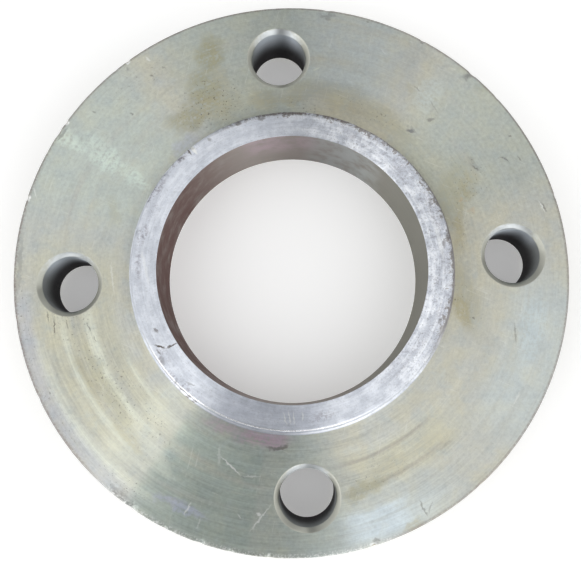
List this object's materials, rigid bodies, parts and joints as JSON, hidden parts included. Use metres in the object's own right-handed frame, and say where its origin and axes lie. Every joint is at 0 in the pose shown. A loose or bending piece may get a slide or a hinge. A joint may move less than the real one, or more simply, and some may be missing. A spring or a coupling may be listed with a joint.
{
  "type": "pipe flange",
  "caption": "Round steel slip-on pipe flange: flat bolt ring with countersunk bolt holes, low hub round a plain bore, raised gasket face behind.",
  "frame": {"origin": "centre of the raised gasket face, on the bore's axis, where the flange lies on a flat surface", "axes": "+Z runs along the bore from the gasket face to the hub; the bolt holes lie on +X, +Y, -X and -Y"},
  "size_m": [0.1906, 0.1906, 0.0289],
  "materials": {
    "steel": "turned steel with a thin oily, yellow-green tinted film, stains, scratches and worn bright edges"
  },
  "bodies": {
    "root": {"flange": "steel"}
  },
  "joints": []
}
